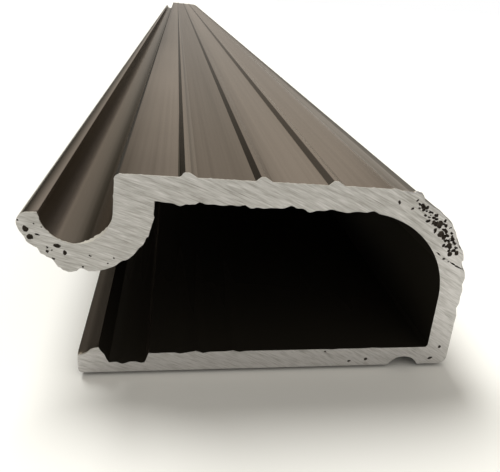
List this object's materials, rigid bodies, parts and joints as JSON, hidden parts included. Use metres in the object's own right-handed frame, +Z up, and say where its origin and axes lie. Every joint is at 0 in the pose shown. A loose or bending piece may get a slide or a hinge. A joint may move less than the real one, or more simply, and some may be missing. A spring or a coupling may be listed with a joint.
{
  "type": "aluminium extrusion profile",
  "caption": "Straight length of a hooked C-section aluminium extrusion, brown anodised, with a ribbed top, rounded nose, side slot, trough lip and bare sawn ends.",
  "frame": {"origin": "middle of the underside, below the middle of the bar's width and length", "axes": "+Y along the bar, away from the torn sawn end; +X from the lip towards the nose wall; +Z up from the base plate"},
  "size_m": [0.06, 1, 0.0293],
  "materials": {
    "brown_anodised_aluminium": "satin anodised, bare where it is sawn"
  },
  "bodies": {
    "root": {"profile_bar": "brown_anodised_aluminium"}
  },
  "joints": []
}
